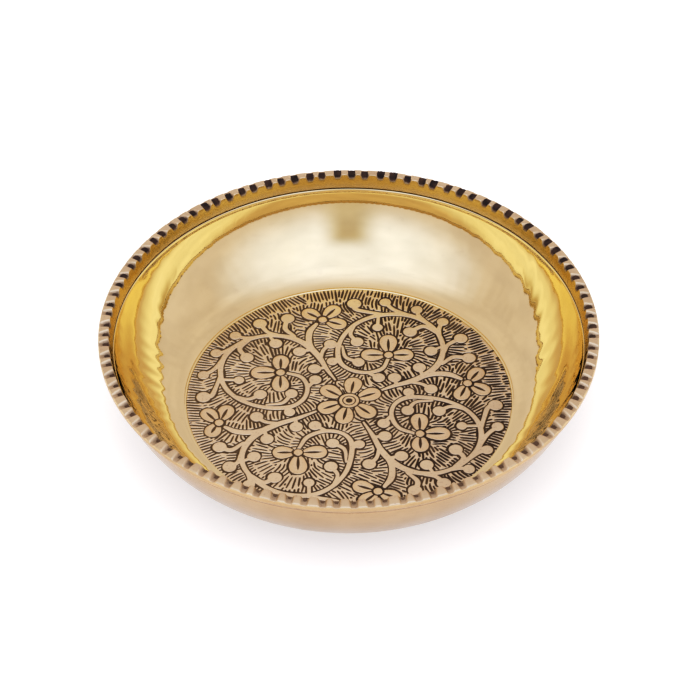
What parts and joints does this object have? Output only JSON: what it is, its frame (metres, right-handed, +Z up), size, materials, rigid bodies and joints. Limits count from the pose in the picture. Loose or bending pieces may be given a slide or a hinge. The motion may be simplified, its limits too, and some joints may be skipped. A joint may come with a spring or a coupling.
{
  "type": "chased serving bowl",
  "caption": "Shallow round brass bowl with a mirror-polished inside, a chased and blackened floral floor disc and a thick rim notched all round.",
  "frame": {"origin": "middle of the flat base", "axes": "+Z up along the bowl's axis, out of its mouth"},
  "size_m": [0.15, 0.15, 0.031],
  "materials": {
    "polished_brass": "mirror-polished brass, yellow",
    "satin_brass": "satin brass with fine file marks",
    "patina": "matte brown-black patina",
    "braze": "dull brazing filler",
    "chased_brass": "satin chased brass",
    "black_lac": "matte black lac filling",
    "solder": "dull tin solder"
  },
  "bodies": {
    "root": {"bowl_shell": "polished_brass", "rim_band": "satin_brass", "notch_patina": "patina", "rim_braze": "braze", "floor_plate": "chased_brass", "floor_lac": "black_lac", "floor_solder": "solder"}
  },
  "joints": []
}
